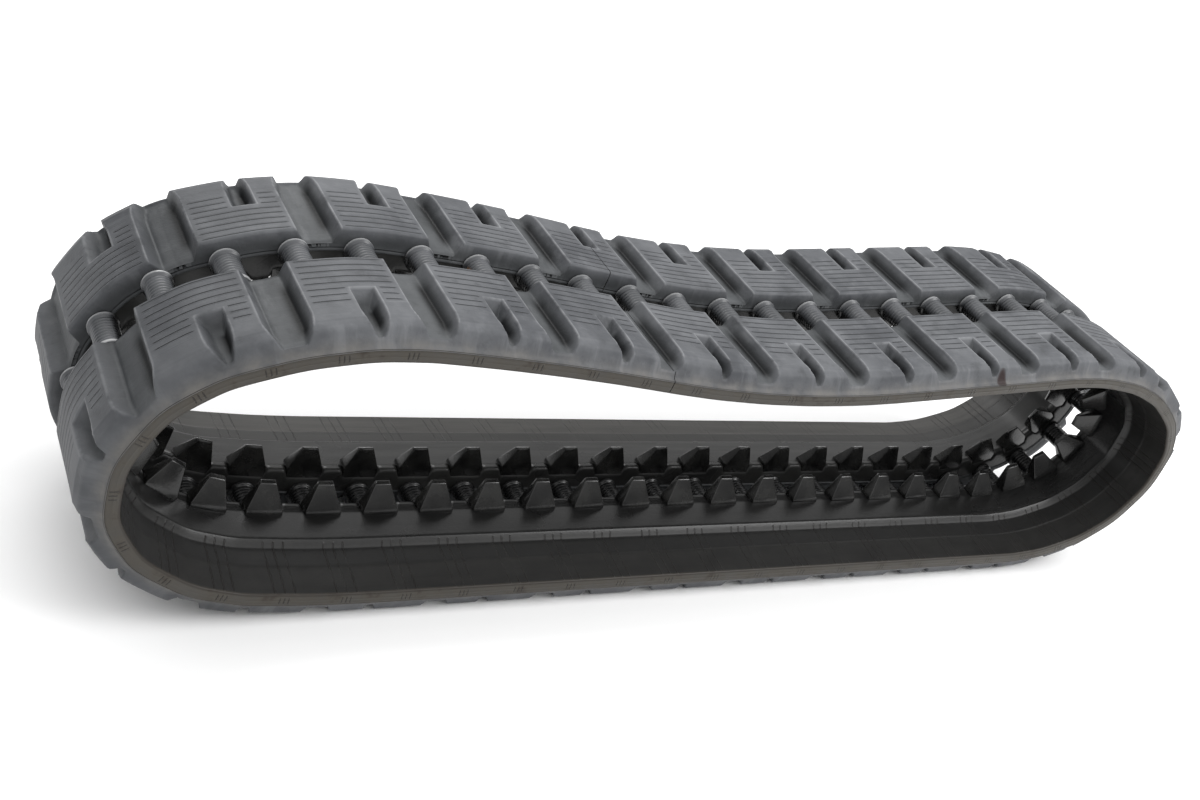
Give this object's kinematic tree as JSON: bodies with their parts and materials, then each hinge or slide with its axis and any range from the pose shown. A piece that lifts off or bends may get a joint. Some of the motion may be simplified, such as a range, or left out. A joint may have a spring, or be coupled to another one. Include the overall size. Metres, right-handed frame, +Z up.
{
  "type": "rubber track",
  "caption": "Endless rubber track of a compact track loader with staggered C-shaped lugs, steel cores with guide teeth and open sprocket windows, standing as a free loop.",
  "frame": {"origin": "on the floor, under the middle of the loop", "axes": "+X along the ground run, toward the end with the smaller bend at the top of the rise; +Y across the belt; +Z up, away from the floor"},
  "size_m": [1.919, 0.4, 0.467],
  "materials": {
    "tread_rubber": "satin, dusty, paler on worn edges",
    "wheel_side_rubber": "satin black on the roller paths, dusty brown at the rims",
    "sleeve_rubber": "satin, ribbed",
    "core_steel": "gloss black coating",
    "steel_cord_ply": "brass-plated cord strands"
  },
  "bodies": {
    "ground_run": {"ground_run_tread": "tread_rubber", "ground_run_wheel_rubber": "wheel_side_rubber", "ground_run_cord_bands": "steel_cord_ply", "ground_run_cores": "core_steel", "ground_run_sleeves": "sleeve_rubber"},
    "front_lower": {"front_lower_tread": "tread_rubber", "front_lower_wheel_rubber": "wheel_side_rubber", "front_lower_cord_bands": "steel_cord_ply", "front_lower_cores": "core_steel", "front_lower_sleeves": "sleeve_rubber"},
    "front_nose": {"front_nose_tread": "tread_rubber", "front_nose_wheel_rubber": "wheel_side_rubber", "front_nose_cord_bands": "steel_cord_ply", "front_nose_cores": "core_steel", "front_nose_sleeves": "sleeve_rubber"},
    "front_upper": {"front_upper_tread": "tread_rubber", "front_upper_wheel_rubber": "wheel_side_rubber", "front_upper_cord_bands": "steel_cord_ply", "front_upper_cores": "core_steel", "front_upper_sleeves": "sleeve_rubber"},
    "upper_front": {"upper_front_tread": "tread_rubber", "upper_front_wheel_rubber": "wheel_side_rubber", "upper_front_cord_bands": "steel_cord_ply", "upper_front_cores": "core_steel", "upper_front_sleeves": "sleeve_rubber"},
    "upper_middle": {"upper_middle_tread": "tread_rubber", "upper_middle_wheel_rubber": "wheel_side_rubber", "upper_middle_cord_bands": "steel_cord_ply", "upper_middle_cores": "core_steel", "upper_middle_sleeves": "sleeve_rubber"},
    "upper_rear": {"upper_rear_tread": "tread_rubber", "upper_rear_wheel_rubber": "wheel_side_rubber", "upper_rear_cord_bands": "steel_cord_ply", "upper_rear_cores": "core_steel", "upper_rear_sleeves": "sleeve_rubber"},
    "rear_upper": {"rear_upper_tread": "tread_rubber", "rear_upper_wheel_rubber": "wheel_side_rubber", "rear_upper_cord_bands": "steel_cord_ply", "rear_upper_cores": "core_steel", "rear_upper_sleeves": "sleeve_rubber"},
    "rear_nose": {"rear_nose_tread": "tread_rubber", "rear_nose_wheel_rubber": "wheel_side_rubber", "rear_nose_cord_bands": "steel_cord_ply", "rear_nose_cores": "core_steel", "rear_nose_sleeves": "sleeve_rubber"},
    "rear_lower": {"rear_lower_tread": "tread_rubber", "rear_lower_wheel_rubber": "wheel_side_rubber", "rear_lower_cord_bands": "steel_cord_ply", "rear_lower_cores": "core_steel", "rear_lower_sleeves": "sleeve_rubber"}
  },
  "joints": [
    {"name": "front_lower_flex", "type": "hinge", "parent": "ground_run", "child": "front_lower", "pos_m": [0.64928, 0, 0.03], "axis": [0, -1, 0], "range_deg": [-1.47, 1.47], "stiffness_Nm_per_rad": 3000, "springref_deg": -1.93},
    {"name": "front_nose_flex", "type": "hinge", "parent": "front_lower", "child": "front_nose", "pos_m": [0.92435, 0, 0.19201], "axis": [0, -1, 0], "range_deg": [-2.36, 2.36], "stiffness_Nm_per_rad": 3000, "springref_deg": -5.02},
    {"name": "front_upper_flex", "type": "hinge", "parent": "front_nose", "child": "front_upper", "pos_m": [0.87535, 0, 0.3474], "axis": [0, -1, 0], "range_deg": [-0.4, 0.4], "stiffness_Nm_per_rad": 3000, "springref_deg": -4.59},
    {"name": "upper_front_flex", "type": "hinge", "parent": "front_upper", "child": "upper_front", "pos_m": [0.55055, 0, 0.42827], "axis": [0, -1, 0], "range_deg": [-0.69, 0.69], "stiffness_Nm_per_rad": 3000, "springref_deg": -2.26},
    {"name": "upper_middle_flex", "type": "hinge", "parent": "upper_front", "child": "upper_middle", "pos_m": [0.20838, 0, 0.39287], "axis": [0, -1, 0], "range_deg": [-1.03, 1.03], "stiffness_Nm_per_rad": 3000, "springref_deg": -0.7},
    {"name": "rear_lower_flex", "type": "hinge", "parent": "ground_run", "child": "rear_lower", "pos_m": [-0.55472, 0, 0.03], "axis": [0, 1, 0], "range_deg": [-2.57, 2.57], "stiffness_Nm_per_rad": 3000, "springref_deg": 1.15},
    {"name": "rear_nose_flex", "type": "hinge", "parent": "rear_lower", "child": "rear_nose", "pos_m": [-0.88005, 0, 0.1085], "axis": [0, 1, 0], "range_deg": [-3.43, 3.43], "stiffness_Nm_per_rad": 3000, "springref_deg": -1.62},
    {"name": "rear_upper_flex", "type": "hinge", "parent": "rear_nose", "child": "rear_upper", "pos_m": [-0.81439, 0, 0.39178], "axis": [0, 1, 0], "range_deg": [-0.44, 0.44], "stiffness_Nm_per_rad": 3000, "springref_deg": -1.34},
    {"name": "upper_rear_flex", "type": "hinge", "parent": "rear_upper", "child": "upper_rear", "pos_m": [-0.56261, 0, 0.43593], "axis": [0, 1, 0], "range_deg": [-0.69, 0.69], "stiffness_Nm_per_rad": 3000, "springref_deg": -0.44}
  ],
  "couplings": [
    {"joint": "front_lower_flex", "follows": "rear_nose_flex", "ratio": -0.41298},
    {"joint": "front_nose_flex", "follows": "rear_nose_flex", "ratio": 0.67351},
    {"joint": "front_upper_flex", "follows": "rear_nose_flex", "ratio": 0.10221},
    {"joint": "upper_front_flex", "follows": "rear_nose_flex", "ratio": 0.18732},
    {"joint": "upper_middle_flex", "follows": "rear_nose_flex", "ratio": -0.28652},
    {"joint": "rear_lower_flex", "follows": "rear_nose_flex", "ratio": -0.73479},
    {"joint": "rear_upper_flex", "follows": "rear_nose_flex", "ratio": 0.11313},
    {"joint": "upper_rear_flex", "follows": "rear_nose_flex", "ratio": 0.1878}
  ]
}
